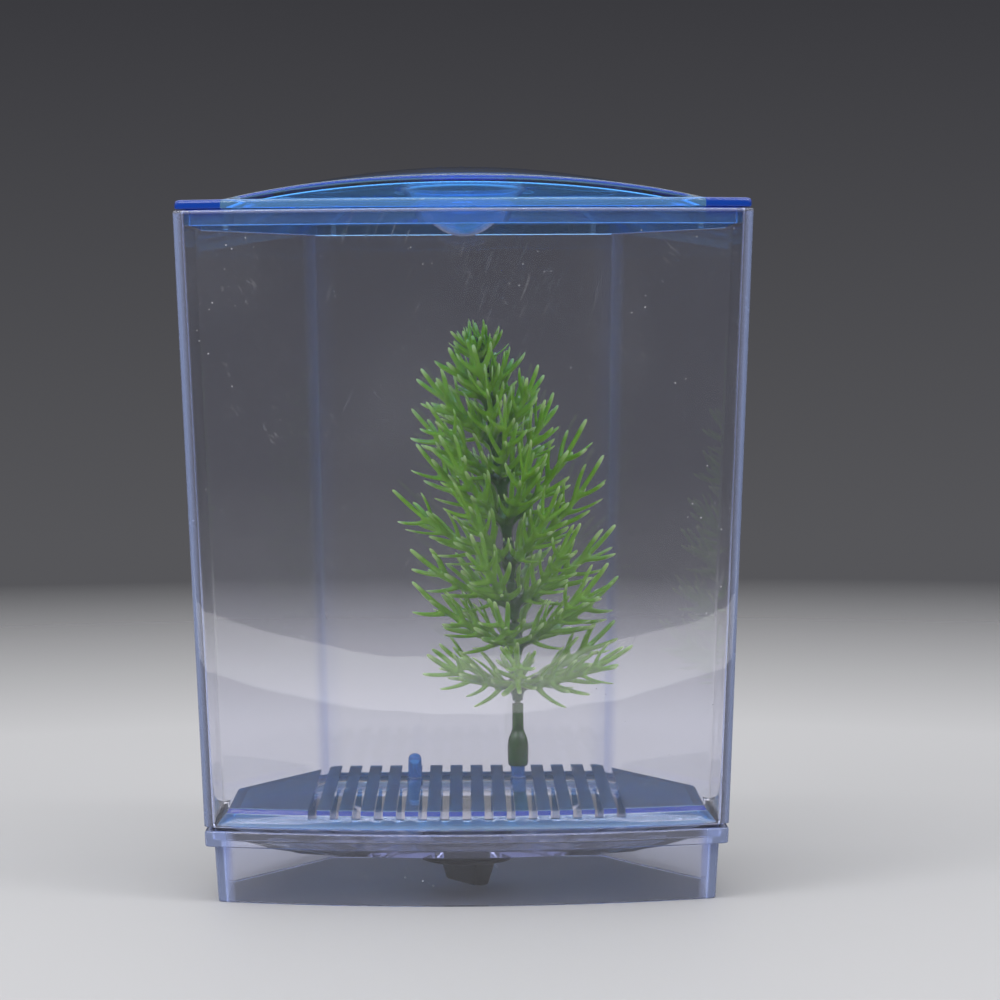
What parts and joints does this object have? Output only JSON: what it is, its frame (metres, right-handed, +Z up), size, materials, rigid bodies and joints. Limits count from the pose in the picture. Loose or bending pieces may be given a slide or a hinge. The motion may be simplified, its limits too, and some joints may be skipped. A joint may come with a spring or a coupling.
{
  "type": "fish breeding box",
  "caption": "Clear breeding tank on an open clear stand, with a blue vaulted lid, a blue slotted grate, a quarter-turn drain and a plastic plant that stands on a peg.",
  "frame": {"origin": "on the table, under the middle of the box round all pieces", "axes": "+X to the right seen from the front, +Y to the back, +Z up; the bowed front faces -Y"},
  "size_m": [0.145, 0.107, 0.1866],
  "materials": {
    "clear_plastic": "clear, polished",
    "blue_plastic": "transparent blue, polished",
    "black_plastic": "satin black",
    "seal_rubber": "matt black",
    "leaf_plastic": "soft green, satin"
  },
  "bodies": {
    "stand": {"stand": "clear_plastic"},
    "tank": {"tank": "clear_plastic", "drain_seat": "black_plastic", "drain_seal": "seal_rubber"},
    "drain_knob": {"drain_knob": "black_plastic"},
    "lid": {"lid": "blue_plastic"},
    "grate": {"grate": "blue_plastic"},
    "plant": {"plant_stem": "leaf_plastic", "plant_whorl_01": "leaf_plastic", "plant_whorl_02": "leaf_plastic", "plant_whorl_03": "leaf_plastic", "plant_whorl_04": "leaf_plastic", "plant_whorl_05": "leaf_plastic", "plant_whorl_06": "leaf_plastic", "plant_whorl_07": "leaf_plastic", "plant_whorl_08": "leaf_plastic", "plant_whorl_09": "leaf_plastic"}
  },
  "joints": [
    {"name": "tank_lift", "type": "slide", "parent": "stand", "child": "tank", "axis": [0, 0, 1], "range_m": [0, 0.04]},
    {"name": "lid_lift", "type": "slide", "parent": "tank", "child": "lid", "axis": [0, 0, 1], "range_m": [0, 0.06]},
    {"name": "grate_lift", "type": "slide", "parent": "tank", "child": "grate", "axis": [0, 0, 1], "range_m": [0, 0.016]},
    {"name": "plant_pull", "type": "slide", "parent": "grate", "child": "plant", "axis": [0, 0, 1], "range_m": [0, 0.003]},
    {"name": "knob_turn", "type": "hinge", "parent": "tank", "child": "drain_knob", "pos_m": [0, -0.0232, 0.0088], "axis": [0, 0, 1], "range_deg": [0, 90]}
  ]
}
